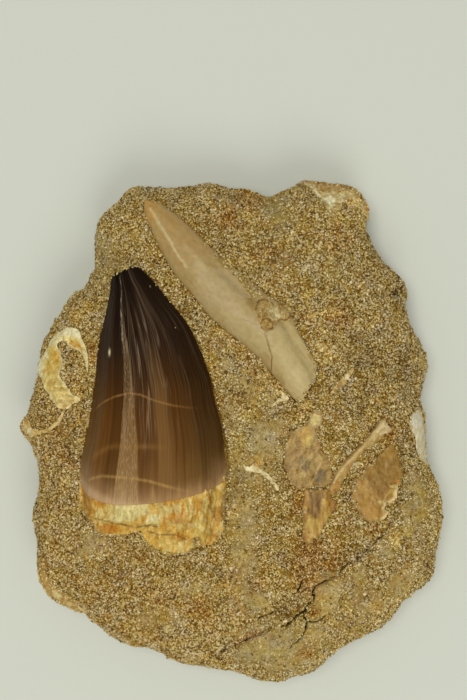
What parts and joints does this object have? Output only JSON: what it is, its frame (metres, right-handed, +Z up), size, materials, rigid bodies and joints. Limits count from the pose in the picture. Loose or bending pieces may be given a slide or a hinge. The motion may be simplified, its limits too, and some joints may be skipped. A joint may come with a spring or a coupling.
{
  "type": "fossil mosasaur tooth in matrix",
  "caption": "Mosasaur tooth crown and root stub embedded in a sandy matrix block, beside a long slender tooth, shell and bone fragments; rests on its flat underside.",
  "frame": {"origin": "middle of the block's bounding box, on the flat underside that it rests on", "axes": "+Y along the block towards the tips of the two teeth, +X to the right as seen from above with the tips away from the viewer, +Z up out of the face that shows the fossils"},
  "size_m": [0.0771, 0.0919, 0.0277],
  "materials": {
    "sandy_matrix": "coarse grained sandstone, matt, tan with orange and dark grains",
    "dark_enamel": "fossil enamel, glossy, near black at the tip and grey brown at the base, finely grooved",
    "root_bone": "fibrous fossil bone, cream and orange, matt",
    "tan_enamel": "fossil enamel, tan, smooth, satin",
    "pale_shell": "chalky fossil shell, cream, matt",
    "brown_bone": "thin fossil bone, brown to orange, low sheen",
    "cream_bone": "fossil bone, cream with orange stains, low sheen"
  },
  "bodies": {
    "root": {"matrix": "sandy_matrix", "matrix_patch": "sandy_matrix", "mosasaur_crown": "dark_enamel", "mosasaur_root": "root_bone", "long_tooth_tip": "tan_enamel", "long_tooth_base": "tan_enamel", "left_shell": "pale_shell", "left_rim_shell": "pale_shell", "edge_shell": "pale_shell", "crest_shell": "pale_shell", "chip_middle": "pale_shell", "forked_bone_blade": "brown_bone", "bone_plate": "brown_bone", "forked_bone_stem": "cream_bone", "forked_bone_arm": "cream_bone", "bone_sliver": "cream_bone", "corner_bone": "cream_bone", "chip_right": "cream_bone"}
  },
  "joints": []
}
